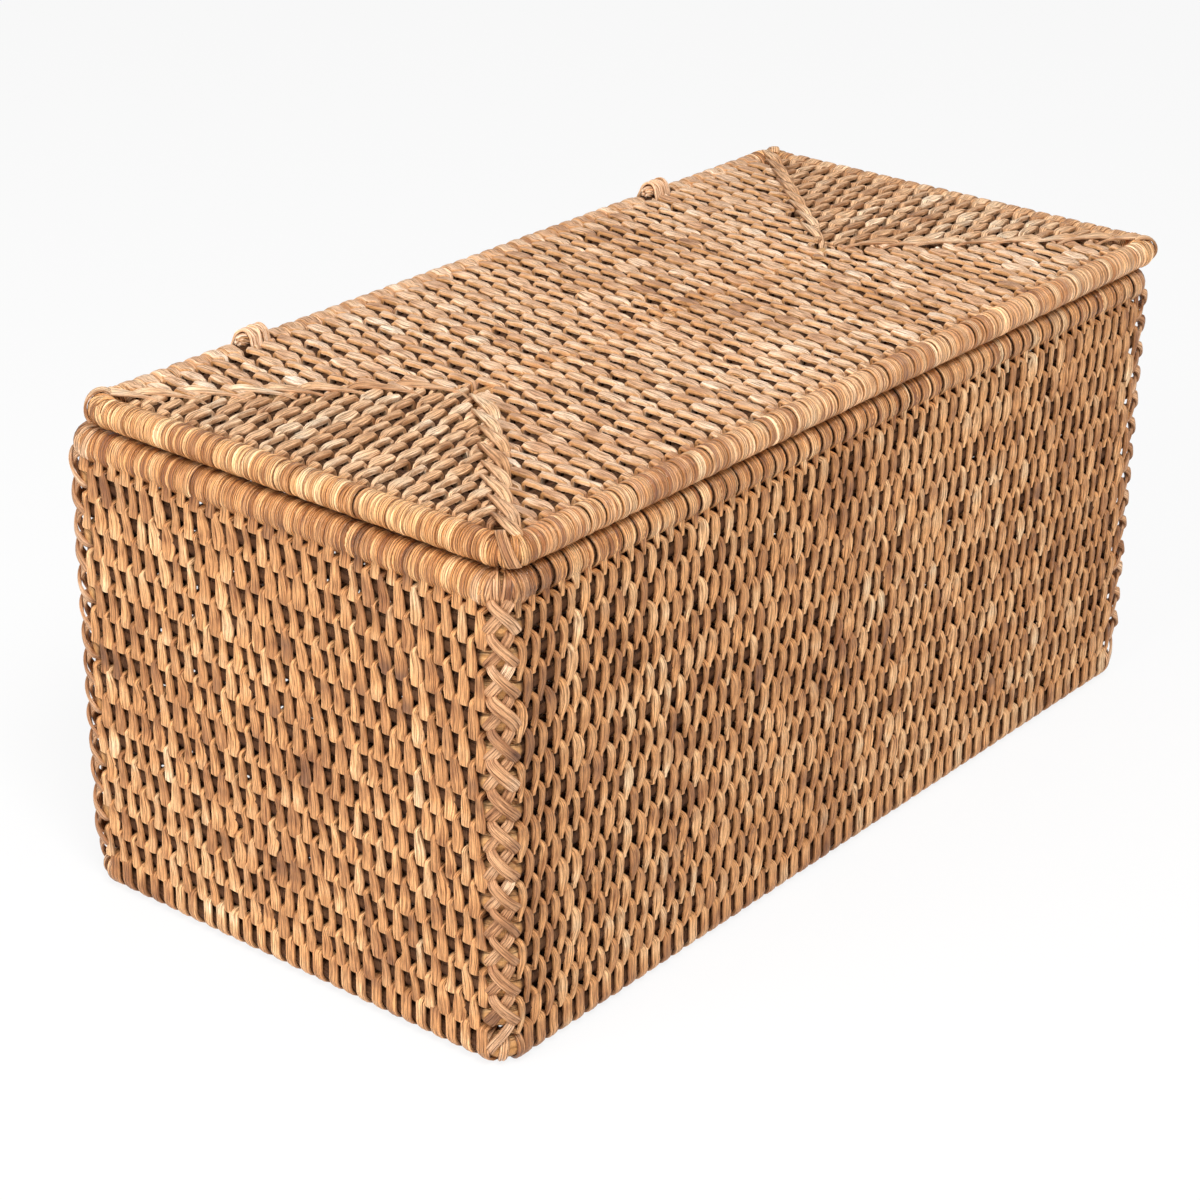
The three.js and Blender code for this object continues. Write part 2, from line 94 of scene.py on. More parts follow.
# Cane: the thickness of a strip, the spacing of the strips, and the play between a pole and its winding
STRIP = 1.0
WALL_COLUMN = 2.62
MAT_COLUMN = 3.0
MAT_END_COLUMN = 2.7
WRAP_PLAY = 0.05
# How far a strip goes round a rim pole, in degrees, and by how much some are wound more tightly
WRAP_TURN = 335
WRAP_SPREAD = 0.2

# Hinges: half the width that the rim's winding leaves free for each, and the cane wound there
HINGE_X = (-89.0, 89.0)
HINGE_GAP = 6.75
HINGE_TURNS = 3
HINGE_PITCH = 2.35
HINGE_STRAND = 0.85
HINGE_PLAY = 0.2
KNOT_RADIUS = 1.9
KNOT_OVERHANG = 1.1
KNOT_STRANDS = 6
KNOT_STRAND_RADIUS = 0.78

TOP_POLE_Z = BODY_HEIGHT - POLE_INSET
FIRST_ROW_Z = POLE_INSET + POLE_SPACING
WALL_PITCH = (TOP_POLE_Z - POLE_SPACING - FIRST_ROW_Z) / (WALL_ROWS - 1)
BACK_POLE = np.array([BODY_WIDTH / 2 - POLE_INSET, TOP_POLE_Z])
LID_BACK_POLE = np.array([LID_Y + LID_WIDTH / 2 - LID_POLE_INSET, LID_Z])
KNOT = LID_BACK_POLE + np.array([-0.4, 4.4])

# The section of a flat strip: half its width and its thickness are both one
STRIP_SECTION = np.array([(-1, 0.02), (-0.9, 0.36), (-0.5, 0.48), (0, 0.5), (0.5, 0.48), (0.9, 0.36),
                          (1, 0.02), (0.88, -0.42), (0, -0.5), (-0.88, -0.42)])
# How much lower each of its points lies on a strip with a crown of one
CROWN = np.array([0.12, 0.24, 0, 0.26, 0, 0.24, 0.12, 0, 0, 0])


def unit(vectors):
    return vectors / np.linalg.norm(vectors, axis=-1, keepdims=True)


def flat_section(width, thickness, crown=0.0):
    """The section of a strip at each point of its path. A crown of one splits its face into two strands."""
    width = np.asarray(width, float)
    size = np.stack([width / 2, np.broadcast_to(thickness, width.shape)], axis=-1)
    section = STRIP_SECTION[None] * size[:, None, :]
    section[..., 1] -= CROWN[None] * np.broadcast_to(crown * np.asarray(thickness), width.shape)[:, None]
    return section


def round_section(radius, sides):
    angle = -2 * np.pi * np.arange(sides) / sides
    circle = np.stack([np.cos(angle), np.sin(angle)], axis=-1)
    return circle[None] * np.asarray(radius)[:, None, None]


def new_object(name, data):
    made = bpy.data.objects.new(name, data)
    bpy.context.scene.collection.objects.link(made)
    return made


def new_piece(name, seed):
    return Piece(name), np.random.default_rng(seed)


class Piece:
    """One mesh, gathered from strands of cane or rod that are swept along paths."""

    def __init__(self, name):
        self.name = name
        self.points, self.quads, self.strand, self.wear_and_shade = [], [], [], []
        self.count = 0

    def sweep(self, path, side, section, tone, closed=False, twist=0.0, depth=0.0, shine=0.0):
        """Side is the strand's own left-to-right direction: crossed with its run it gives its outer face.

        Depth says how far each point lies inside the weave, from 0 on its face to 1 behind it: the material
        paints shade by it.
        Shine is 1 where hands have polished the strip, round the rims, where the material also paints shade
        in the grooves.
        """
        path = np.asarray(path, float)
        if closed:
            run = unit(np.roll(path, -1, axis=0) - np.roll(path, 1, axis=0))
        else:
            run = unit(np.gradient(path, axis=0))
        side = np.broadcast_to(np.asarray(side, float), path.shape)
        side = unit(side - (side * run).sum(axis=1, keepdims=True) * run)
        out = np.cross(side, run)
        turn = np.broadcast_to(twist, len(path))[:, None]
        side, out = side * np.cos(turn) + out * np.sin(turn), out * np.cos(turn) - side * np.sin(turn)
        rings = path[:, None] + section[..., :1] * side[:, None] + section[..., 1:] * out[:, None]
        count, sides = section.shape[:2]
        step = np.linalg.norm(np.diff(path, axis=0), axis=1)
        along = np.concatenate([[0], np.cumsum(step)]) + 1000 * tone
        across = section[..., 0]
        edge = np.abs(across) / np.abs(across).max(axis=1, keepdims=True)
        depth, shine = (np.broadcast_to(value, count)[:, None] for value in (depth, shine))
        self.points.append(rings.reshape(-1, 3))
        self.strand.append(point_values(across, along[:, None], tone))
        self.wear_and_shade.append(point_values(edge, depth, shine))
        self.quads.append(self.count + tube_quads(count, sides, closed))
        self.count += count * sides

    def build(self, material, body, slot, nodes):
        points = np.concatenate(self.points) * MM
        quads = np.concatenate(self.quads)
        mesh = bpy.data.meshes.new(self.name)
        mesh.vertices.add(len(points))
        mesh.vertices.foreach_set("co", points.astype(np.float32).ravel())
        mesh.loops.add(quads.size)
        mesh.loops.foreach_set("vertex_index", quads.astype(np.int32).ravel())
        mesh.polygons.add(len(quads))
        mesh.polygons.foreach_set("loop_start", np.arange(0, quads.size, 4, dtype=np.int32))
        mesh.polygons.foreach_set("use_smooth", np.ones(len(quads), dtype=bool))
        for name, values in (("strand", self.strand), ("wear_and_shade", self.wear_and_shade)):
            attribute = mesh.attributes.new(name, "FLOAT_VECTOR", "POINT")
            attribute.data.foreach_set("vector", np.concatenate(values).astype(np.float32).ravel())
        mesh.update()
        mesh.validate()
        mesh.set_sharp_from_angle(angle=math.radians(38))
        mesh.materials.append(material)
        piece = new_object(self.name, mesh)
        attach(piece, body)
        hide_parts(*nodes)


def point_values(*values):
    """One row of values for each point of a tube, from values for its points, its rings or all of it."""
    return np.stack(np.broadcast_arrays(*values), axis=-1).reshape(-1, len(values))


def tube_quads(count, sides, closed):
    """The faces of a tube of rings, as quads. The ends of an open one are closed by a row of quads each."""
    ring = np.arange(count if closed else count - 1)
    here = ring[:, None] * sides
    there = ((ring + 1) % count)[:, None] * sides
    side = np.arange(sides)[None]
    beside = (side + 1) % sides
    walls = np.stack([here + side, here + beside, there + beside, there + side], axis=-1).reshape(-1, 4)
    if closed:
        return walls
    fan = np.array([(0, k, k + 1, k + 2) for k in range(1, sides - 2, 2)])
    return np.concatenate([walls, fan[:, ::-1], fan + (count - 1) * sides])


FLOAT_STEPS = 9


def over_row(pitch, reach):
    """A strip's flat float over one rod, in steps from half a row before it to half a row after it."""
    run = np.linspace(-0.5, 0.5, FLOAT_STEPS) * pitch
    return run, np.full(FLOAT_STEPS, reach)


def behind_row(pitch, reach, tight):
    """The same strip behind the next rod: it slopes in above one float and folds out into the next."""
    back = np.radians([-75, -38, 0, 38, 75])
    slope_run = np.array([-0.5 * pitch, -tight - 0.6, -tight - 0.05])
    slope_out = np.array([reach, 0.9 * reach, 0.3 * reach])
    fold_run = np.array([tight + 0.02, tight + 0.1, tight + 0.4, 0.5 * pitch])
    fold_out = np.array([0.25 * tight, 0.78 * reach, reach, reach])
    run = np.concatenate([slope_run, tight * np.sin(back), fold_run])
    out = np.concatenate([slope_out, -tight * np.cos(back), fold_out])
    return run, out


# The forms of a float, at levels from its foot to its head in shares of a row: its width as a share of its
# strip, and how far its middle line swings sideways in mm
FLOAT_LEVELS = (-0.5, -0.36, -0.12, 0.12, 0.36, 0.5)
BEHIND_LEVELS = (-0.5, -0.36, -0.28, 0.28, 0.33, 0.5)
BLADE = dict(shares=(0.4, 0.64, 0.94, 0.98, 0.88, 0.68), swing=(-1.1, -0.55, 0.28, 0.38, 0.05, -0.5))
WEDGE = dict(shares=(0.98, 1.1, 1.06, 0.93, 0.74, 0.56), swing=(0.3, 0.28, 0.12, -0.08, -0.22, -0.3))
LEAF = dict(shares=(0.46, 0.72, 1.0, 1.02, 0.95, 0.78), swing=(-0.65, -0.28, 0.22, 0.3, 0.1, -0.2))

# How a woven strip varies: sag and wander in mm, back and vary in shares of its width, twist in radians. Side
# says which way its floats swing. Facing is -1 for one laid from the back of a mat, with its floats reversed.
WALL_LOOK = dict(sag=0.15, wander=0.3, back=1.3, twist=0.22, vary=0.13, side=1, facing=1)
LID_LOOK = dict(form=LEAF, sag=0.14, wander=0.26, back=1.12, twist=0.22, vary=0.12)


def bounded(rng):
    """A chance value about zero that never runs far out."""
    return float(np.clip(rng.normal(), -1.6, 1.6))


def join(*parts):
    return [np.concatenate(group) for group in zip(*parts)]


def reverse(columns):
    return [column[::-1] for column in columns]


def woven_rows(count, first, pitch, phase, reach, tight, look, rng):
    """A strip that passes outside and inside the rods in turn.

    Its columns are run, out, drift, width share, twist, depth and shine.
    """
    form, side, facing, back = look["form"], look["side"], look["facing"], look["back"]
    shares, swing = form["shares"], form["swing"]
    wander = look["wander"] * np.clip(rng.normal(size=count + 1), -2, 2)
    parts = []
    for row in range(count):
        outside = (row + phase) % 2 == 0
        run, out = over_row(pitch, reach) if outside else behind_row(pitch, reach, tight)
        level = run / pitch
        twist = np.zeros(len(level))
        if outside:
            arch = np.cos(np.pi * level)
            share = np.interp(level, FLOAT_LEVELS, shares)
            drift = np.interp(level, FLOAT_LEVELS, swing)
            tilt = look["twist"] * bounded(rng)
            out = out - (abs(look["sag"] * bounded(rng)) + 0.9 * abs(tilt)) * arch
            twist = tilt * arch
        else:
            head, foot = shares[-1], shares[0]
            share = np.interp(level, BEHIND_LEVELS, (head, head, back, back, foot, foot))
            drift = np.interp(level, [-0.36, 0.3], [swing[-1], swing[0]])
        # Depth, from which the material paints shade, grows the deeper the strip lies in the weave
        depth = np.clip((0.8 * reach - out) / (1.2 * reach), 0, 1)
        if not outside:
            # The middle of the strip shows on the inside of the weave, where it is lit as well, so it gets
            # less painted shade
            depth = depth * np.interp(np.abs(level), [0.15, 0.33], [0.2, 1])
        columns = [run, out, side * drift, share * (1 + look["vary"] * bounded(rng)), twist, depth]
        if facing < 0:
            columns = [-run[::-1], *reverse(columns[1:])]
        place = np.linspace(0, 1, len(run))
        columns[0] = first + row * pitch + columns[0]
        columns[2] = columns[2] + np.interp(place, [0, 1], wander[row:row + 2])
        columns.append(np.zeros(len(run)))
        parts.append([column[1:] if row else column for column in columns])
    return join(*parts)


def wrap(run, out, radius, start, turn, steps):
    """A strip round a pole, from a start angle: 0 degrees is outwards and 90 is along the strip's run."""
    angle = np.radians(start + turn * np.linspace(0, 1, steps))
    return run + radius * np.sin(angle), out + radius * np.cos(angle)


class Panel:
    """Where a flat run of weave lies: the way its strips run, the way out, and the way across them."""

    def __init__(self, origin, run, out):
        self.origin, self.run, self.out = (np.array(part, float) for part in (origin, run, out))
        self.across = np.cross(self.run, self.out)

    def place(self, run, out, across):
        parts = zip(np.broadcast_arrays(run, out, across), (self.run, self.out, self.across))
        return self.origin + sum(part[:, None] * axis for part, axis in parts)


# Where a strip from behind the last rod meets the pole, in degrees
INNER_ENTRY = 14


def pole_lead(pole, toward, goes_out, arc, width, drift, lead, entry=58, shine=1.0):
    """The strip from where it leaves the rods to its end round a pole, as columns like woven_rows.

    Pole is its place along and off the panel and its radius. Entry and arc are in degrees: where an outer
    strip meets the pole, and how far it goes round.
    """
    side = 1 if goes_out else -1
    start = -90 if toward > 0 else 90
    steps = max(6, int(arc / 18))
    begin = start + side * toward * (entry if goes_out else INNER_ENTRY)
    run, out = wrap(*pole, begin, side * toward * arc, steps)
    fade = np.linspace(0, 1, steps)
    share = np.full(steps, width)
    share[-1] *= 0.7
    slide = drift * (1 - fade) ** 2 + lead * (fade - np.minimum(0.5, 2 * fade))
    return run, out, slide, share, np.zeros(steps), np.zeros(steps), np.full(steps, shine)


def add_strip(piece, panel, across, width, columns, tone, rng, extra=0.0):
    """Extra is how much thicker the strip is between the rims than on them."""
    run, out, drift, share, twist, depth, shine = columns
    thickness = STRIP * (1 + 0.08 * bounded(rng)) + extra * (1 - np.clip(2 * shine, 0, 1))
    section = flat_section(width * share, thickness, crown=shine)
    path = panel.place(run, out, across + drift)
    piece.sweep(path, panel.across, section, tone, twist=twist, depth=depth, shine=shine)


def wall_strip(piece, panel, across, phase, hinged, form, rng):
    """One upright strip of a wall, whose floats have the given form."""
    look = dict(WALL_LOOK, form=form)
    tight = WALL_ROD_RADIUS + STRIP / 2
    columns = woven_rows(WALL_ROWS, FIRST_ROW_Z, WALL_PITCH, phase, WALL_FACE, tight, look, rng)
    first_out = phase % 2 == 0
    last_out = (WALL_ROWS - 1 + phase) % 2 == 0
    shift = WALL_ROD_INSET - POLE_INSET
    foot = (POLE_INSET, shift, FOOT_RADIUS + STRIP / 2)
    turn = 120 if first_out else 190
    below = pole_lead(foot, -1, not first_out, turn, 1.04, columns[2][0], 0, entry=76, shine=0.3)
    if not first_out:
        # The strip comes up from the foot at its full width
        columns[3][:3] = 1
    parts = [reverse(below), columns]
    if not hinged:
        rim = (TOP_POLE_Z, shift, POLE_RADIUS + STRIP / 2 - WRAP_SPREAD * rng.uniform())
        share = 1.0 + 0.08 * bounded(rng)
        parts.append(pole_lead(rim, 1, not last_out, WRAP_TURN, share, columns[2][-1], 0.7))
    width = WALL_COLUMN * (1.22 + 0.07 * bounded(rng))
    add_strip(piece, panel, across, width, join(*parts), rng.uniform(), rng)


def at_hinge(x):
    return any(abs(x - BODY_X - hinge) < HINGE_GAP for hinge in HINGE_X)


def build_wall(name, origin, out, length, hinged, form, seed):
    piece, rng = new_piece(name, seed)
    panel = Panel(origin, (0, 0, 1), out)
    span = length - 2 * WALL_END
    count = int(round(span / WALL_COLUMN))
    for column in range(count):
        across = (column + 0.5) * span / count - span / 2
        x = panel.origin[0] + panel.across[0] * across
        wall_strip(piece, panel, across, column % 2, hinged and at_hinge(x), form, rng)
    return piece


# How finely a rod is drawn: points in each bend, mm between points along its straights, and its sides
BEND_STEPS = 8
ROD_SPACING = 9.0
ROD_SIDES = 12


def rounded_ring(centre, half_x, half_y, bend):
    """Points and outward directions round a flat rounded rectangle, and how far into a bend each lies."""
    points, outward, bent = [], [], []
    for corner, (sx, sy) in enumerate(((1, 1), (-1, 1), (-1, -1), (1, -1))):
        middle = centre + np.array([sx * (half_x - bend), sy * (half_y - bend), 0])
        for step in range(BEND_STEPS + 1):
            angle = (corner + step / BEND_STEPS) * math.pi / 2
            direction = np.array([math.cos(angle), math.sin(angle), 0])
            points.append(middle + bend * direction)
            outward.append(direction)
            bent.append(math.sin(math.pi * step / BEND_STEPS) ** 0.5)
        straight = 2 * ((half_y if corner % 2 else half_x) - bend)
        run = np.array([-math.sin(angle), math.cos(angle), 0])
        extra = max(1, int(straight / ROD_SPACING))
        start = points[-1]
        for step in range(1, extra):
            points.append(start + run * straight * step / extra)
            outward.append(direction)
            bent.append(0)
    return np.array(points), np.array(outward), np.array(bent)


def rod_ring(name, centre, half_x, half_y, inset, bend, radius, swelling, seed):
    """A rod bent round four corners. It lies open there, and deep inside the weave along the sides."""
    piece, rng = new_piece(name, seed)
    points, outward, bent = rounded_ring(centre, half_x - inset, half_y - inset, bend)
    size = radius * (1 + 0.02 * rng.normal(size=len(points))) + swelling * bent
    # Painted shade along the sides, where the rod lies deep in the weave, and none at the open bends
    piece.sweep(points, outward, round_section(size, ROD_SIDES), rng.uniform(), closed=True, depth=1 - bent)
    return piece


class Corner:
    """One upright corner of the basket, with arc lengths measured to the right, seen from outside."""

    def __init__(self, sx, sy):
        half_x, half_y = BODY_LENGTH / 2 - CORNER_RADIUS, BODY_WIDTH / 2 - CORNER_RADIUS
        self.middle = np.array([BODY_X + sx * half_x, sy * half_y])
        self.facing = math.atan2(sy, sx)

    def place(self, arc, z, radius):
        """Points at an arc length on a given radius. Past the bend they run on along the wall."""
        arc, z, radius = np.broadcast_arrays(np.asarray(arc, float), z, radius)
        limit = CORNER_RADIUS * math.pi / 4
        bend = np.clip(arc, -limit, limit)
        angle = self.facing + bend / CORNER_RADIUS
        past = arc - bend
        x = self.middle[0] + radius * np.cos(angle) - past * np.sin(angle)
        y = self.middle[1] + radius * np.sin(angle) + past * np.cos(angle)
        outward = np.stack([np.cos(angle), np.sin(angle), np.zeros_like(angle)], axis=-1)
        return np.stack([x, y, z], axis=-1), outward


def faced_strip(piece, path, outward, width, thickness, tone, twist=0.0, depth=0.0):
    """A strip whose outer face looks the given way at each point of its path."""
    side = np.cross(unit(np.gradient(path, axis=0)), outward)
    piece.sweep(path, side, flat_section(width, thickness), tone, twist=twist, depth=depth)


# The two strips of lacing at each rod, in mm: where each starts and ends as (arc, z) from the rod, the radius
# on which it lies, how far it bulges out, and its width
RISING = dict(start=(-4.9, -2.3), end=(3.0, 8.4), radius=8.4, bulge=0.7, width=3.1)
FALLING = dict(start=(-3.6, 7.9), end=(5.0, -2.2), radius=8.7, bulge=1.4, width=2.9)
LACING_THICKNESS = 0.9
# How far round the corner they bulge, and how deep their ends dive in, over which share of their length
BULGE_REACH = 3.6
DIVE_DEPTH = 2.2
DIVE_SHARE = 0.16


def corner_strip(piece, corner, rod_z, lie, rng):
    """One strip of lacing, that stands off the rods and dives in at both ends."""
    width = lie["width"] + 0.3 * rng.normal()
    start, end = lie["start"], lie["end"]
    t = np.linspace(0, 1, 15)
    bow = np.sin(np.pi * t)
    arc = start[0] + (end[0] - start[0]) * t + 0.3 * rng.normal() * bow
    z = rod_z + start[1] + (end[1] - start[1]) * t + 0.3 * rng.normal() * bow
    dive = np.clip(1 - np.minimum(t, 1 - t) / DIVE_SHARE, 0, 1)
    lift = lie["bulge"] * np.clip(1 - (arc / BULGE_REACH) ** 2, 0, 1)
    path, outward = corner.place(arc, z, lie["radius"] + lift - DIVE_DEPTH * dive ** 2)
    width = width * (1 - 0.2 * dive)
    tone = rng.uniform()
    twist = 0.15 * rng.normal() * bow
    # The diving ends get painted shade where they go in between the rods
    faced_strip(piece, path, outward, width, LACING_THICKNESS, tone, twist=twist, depth=0.7 * dive)


# The upright strips inside each corner: their places round it, in mm, and how far inside the rods they lie
INNER_ARCS = (-7.7, -4.6, 0, 4.6, 7.7)
INNER_DEPTH = 3.7
INNER_WIDTH = 2.2
INNER_THICKNESS = 0.7
# The strips round its foot: their places, in degrees from the corner's middle
FOOT_FAN = (-32, 2, 35)
FOOT_FAN_WIDTH = 2.6


def build_corner(name, sx, sy, seed):
    piece, rng = new_piece(name, seed)
    corner = Corner(sx, sy)
    for row in range(-1, WALL_ROWS + 1):
        z = FIRST_ROW_Z + row * WALL_PITCH + 0.3 * rng.normal()
        if row < WALL_ROWS:
            corner_strip(piece, corner, z, RISING, rng)
        if 0 <= row < WALL_ROWS:
            corner_strip(piece, corner, z, FALLING, rng)
    for arc in INNER_ARCS:
        z = np.linspace(FIRST_ROW_Z - 3, FIRST_ROW_Z + (WALL_ROWS - 1) * WALL_PITCH + 3, 60)
        radius = CORNER_RADIUS - WALL_ROD_INSET - INNER_DEPTH
        path, outward = corner.place(arc + 0.3 * np.sin(z * 0.4), z, radius)
        width = np.full(len(z), INNER_WIDTH)
        # Painted shade on the inner strips, which lie behind the rods
        faced_strip(piece, path, -outward, width, INNER_THICKNESS, rng.uniform(), depth=0.35)
    rim_fan(piece, corner.middle, corner.facing, POLE_INSET, TOP_POLE_Z, POLE_RADIUS, rng)
    for turn in FOOT_FAN:
        angle = corner.facing + math.radians(turn)
        fan_strip(piece, corner.middle, angle, CORNER_RADIUS - POLE_INSET, POLE_INSET,
                  FOOT_RADIUS + STRIP / 2, FOOT_FAN_WIDTH, -120, 240, rng)
    return piece


def fan_strip(piece, middle, angle, bend, z, radius, width, start, turn, rng):
    """A strip round a bent pole, from a start angle. It narrows towards the axis of the bend."""
    around = np.radians(start + turn * np.linspace(0, 1, 20))
    reach = bend + radius * np.cos(around)
    direction = np.array([math.cos(angle), math.sin(angle), 0])
    path = np.array([middle[0], middle[1], z]) + reach[:, None] * direction
    path[:, 2] += radius * np.sin(around)
    share = width * np.clip(reach, 0.6, None) / (bend + radius)
    side = np.array([-math.sin(angle), math.cos(angle), 0])
    path = path + (0.5 * rng.normal() * np.sin(around))[:, None] * side
    piece.sweep(path, side, flat_section(share, STRIP, crown=0.8), rng.uniform(), shine=1.0)


RIM_FAN_STRIPS = 6


def rim_fan(piece, middle, facing, inset, z, pole_radius, rng):
    """The strips round the bend of a rim pole, just wide enough to hide it on the outside."""
    turn = math.pi / 2 / (RIM_FAN_STRIPS - 1)
    radius = pole_radius + STRIP / 2 + WRAP_PLAY
    for place in range(RIM_FAN_STRIPS):
        angle = facing - math.pi / 4 + place * turn
        fan_strip(piece, middle, angle, CORNER_RADIUS - inset, z, radius, 1.04 * CORNER_RADIUS * turn,
                  -110, 320, rng)


class Mat:
    """A mitred mat of bent rods, for the lid or the bottom."""

    def __init__(self, x, y, z, length, width, first_rod):
        self.centre = np.array([x, y, z])
        self.half_x, self.half_y = length / 2, width / 2
        self.pitch = (self.half_y - first_rod) / MAT_RINGS
        self.first_rod = first_rod

    def inset(self, ring):
        return self.first_rod + ring * self.pitch

    def corner(self, sx, sy):
        """The middle of the bend in one corner of the rim pole."""
        away = np.array([self.half_x - CORNER_RADIUS, self.half_y - CORNER_RADIUS, 0])
        return self.centre + away * (sx, sy, 0)

    def panel(self, run):
        """A panel that starts at the edge that run leads away from."""
        run = np.array(run, float)
        reach = np.abs(run) @ np.array([self.half_x, self.half_y, 0])
        return Panel(self.centre - run * reach, run, (0, 0, 1))


def mat_strip(piece, mat, panel, across, rows, phase, width, ends, rng, seen=1, side=1):
    """One strip from an edge inwards. Ends says what it does there and at the far side."""
    look = dict(LID_LOOK, side=side * seen, facing=seen)
    reach = MAT_ROD_RADIUS + (STRIP + MAT_EXTRA) / 2 + MAT_PLAY
    columns = woven_rows(rows, mat.first_rod, mat.pitch, phase, reach, reach, look, rng)
    first_out = phase % 2 == 0
    last_out = (rows - 1 + phase) % 2 == 0
    drift = columns[2]
    parts = [columns]
    if ends[0] != "tuck":
        lead = rim_lead(LID_POLE_INSET, -1, not first_out, ends[0], drift[0], seen, rng)
        parts.insert(0, reverse(lead))
    if ends[1] != "tuck":
        inset = 2 * mat.half_y - LID_POLE_INSET
        parts.append(rim_lead(inset, 1, not last_out, ends[1], drift[-1], seen, rng))
    width = width * (1.12 + 0.08 * rng.normal())
    add_strip(piece, panel, across, width, join(*parts), rng.uniform(), rng, MAT_EXTRA)


# How much lower than a close winding the ropes of a rim and the strips between them lie, and how far the
# ropes go round, in degrees
ROPE_DROP = 0.25
BETWEEN_ROPES_DROP = 0.6
ROPE_TURN = 300


def rim_lead(place, toward, goes_out, style, drift, seen, rng):
    """A strip's end round the lid's rim: closely wound, or as a row of ropes with lower strips between."""
    radius = LID_POLE_RADIUS + STRIP / 2 + WRAP_PLAY
    if style == "wrap":
        pole = (place, 0, radius - WRAP_SPREAD * rng.uniform())
        return pole_lead(pole, toward, goes_out, WRAP_TURN, 0.98 + 0.08 * bounded(rng), drift, 0.6 * seen)
    if goes_out:
        pole = (place, 0, radius - ROPE_DROP)
        return pole_lead(pole, toward, True, ROPE_TURN, 1.3, drift, 0.9 * seen, shine=0.15)
    pole = (place, 0, radius - BETWEEN_ROPES_DROP)
    return pole_lead(pole, toward, False, WRAP_TURN, 0.9, drift, 0.6 * seen, shine=0.5)


def rim_wrap(piece, panel, across, width, rng):
    """A strip that only goes round the lid's rim pole, beside a corner, where it crosses no rod.

    It lies a little lower than the strips round the bend that it meets.
    """
    steps = 22
    run, out = wrap(LID_POLE_INSET, 0, LID_POLE_RADIUS + STRIP / 2 - 0.1, 120, 345, steps)
    level = np.zeros(steps)
    columns = run, out, level, level + 1, level, level, level + 1
    add_strip(piece, panel, across, width * 1.06, columns, rng.uniform(), rng)


def crossed_rings(mat, distance):
    """How many rods a strip crosses before the mitre, when it lies that far from the mat's other edge."""
    return sum(mat.inset(ring) < distance - MITRE_GAP for ring in range(MAT_RINGS))


def build_middle_weave(name, mat, edge, back_edge, hinged, seed):
    piece, rng = new_piece(name, seed)
    front, back = mat.panel((0, 1, 0)), mat.panel((0, -1, 0))
    count = int(round(2 * mat.half_x / MAT_COLUMN))
    for column in range(count):
        x = (column + 0.5) * 2 * mat.half_x / count - mat.half_x
        last = "tuck" if hinged and at_hinge(x + mat.centre[0]) else back_edge
        phase, width = column % 2, MAT_COLUMN
        inset = mat.half_x - abs(x)
        if inset > mat.half_y:
            mat_strip(piece, mat, front, x, 2 * MAT_RINGS + 1, phase, width, (edge, last), rng)
            continue
        rows = crossed_rings(mat, inset)
        if rows > 0:
            mat_strip(piece, mat, front, x, rows, phase, width, (edge, "tuck"), rng)
            mat_strip(piece, mat, back, -x, rows, phase, width, (last, "tuck"), rng, seen=-1)
        elif edge == "wrap" and inset > CORNER_RADIUS:
            rim_wrap(piece, front, x, width, rng)
            rim_wrap(piece, back, -x, width, rng)
    return piece


def build_end_weave(name, mat, edge, side, seed):
    piece, rng = new_piece(name, seed)
    panel = mat.panel((-side, 0, 0))
    count = int(round(2 * mat.half_y / MAT_END_COLUMN))
    for column in range(count):
        across = (column + 0.5) * 2 * mat.half_y / count - mat.half_y
        rows = crossed_rings(mat, mat.half_y - abs(across))
        phase, width = column % 2, MAT_END_COLUMN
        if rows > 0:
            mat_strip(piece, mat, panel, across, rows, phase, width, (edge, "tuck"), rng, side=side)
        elif edge != "tuck" and mat.half_y - abs(across) > CORNER_RADIUS:
            rim_wrap(piece, panel, across, width, rng)
    return piece


def mat_middle_rod(name, mat, seed):
    piece, rng = new_piece(name, seed)
    half = mat.half_x - mat.half_y + MAT_ROD_RADIUS
    path = mat.centre + np.linspace(-half, half, 20)[:, None] * np.array([1, 0, 0])
    section = round_section(MAT_ROD_RADIUS * (1 + 0.02 * rng.normal(size=20)), ROD_SIDES)
    piece.sweep(path, (0, -1, 0), section, rng.uniform())
    return piece


def on_mitre(mat, sx, sy, inset, off, lift):
    """Points beside a lid's mitre: inset from both edges, and off to the right of the way inwards."""
    inwards = np.array([-sx, -sy, 0])
    right = np.cross(inwards, (0, 0, 1)) / math.sqrt(2)
    start = mat.centre + np.array([sx * mat.half_x, sy * mat.half_y, 0])
    return start + inset[:, None] * inwards + off[:, None] * right + lift[:, None] * np.array([0, 0, 1])


def seam_strip(piece, mat, sx, sy, middle, reach, slant, width, lift, rng):
    """One sewn strip that crosses the mitre at a slant and goes down between the rods at both ends."""
    t = np.linspace(-1, 1, 17)
    bow = np.cos(np.pi * t / 2)
    inset = np.maximum(middle + reach / 2 * t, SEAM_START + t)
    off = slant * np.sin(np.pi * t / 2) + 0.4 * rng.normal()
    height = lift * (0.25 + 0.75 * bow ** 0.6) - 2.2 * (1 - bow) ** 3
    path = on_mitre(mat, sx, sy, inset, off, MAT_ROD_RADIUS + STRIP / 2 + height)
    width = width * (0.62 + 0.4 * bow)
    twist = math.copysign(SEAM_TWIST, slant) * np.sin(np.pi * t / 2)
    faced_strip(piece, path, (0, 0, 1), width, SEAM_THICKNESS, rng.uniform(), twist=twist)


def build_seam(name, mat, sx, sy, slant, width, lift, seed):
    piece, rng = new_piece(name, seed)
    for ring in range(MAT_RINGS):
        middle = mat.inset(ring) - mat.pitch * 0.4 + 0.5 * rng.normal()
        strip_width = width * (1 + 0.06 * rng.normal())
        seam_strip(piece, mat, sx, sy, middle, mat.pitch * SEAM_REACH, slant, strip_width, lift, rng)
    corner_tie(piece, mat, sx, sy, rng)
    return piece


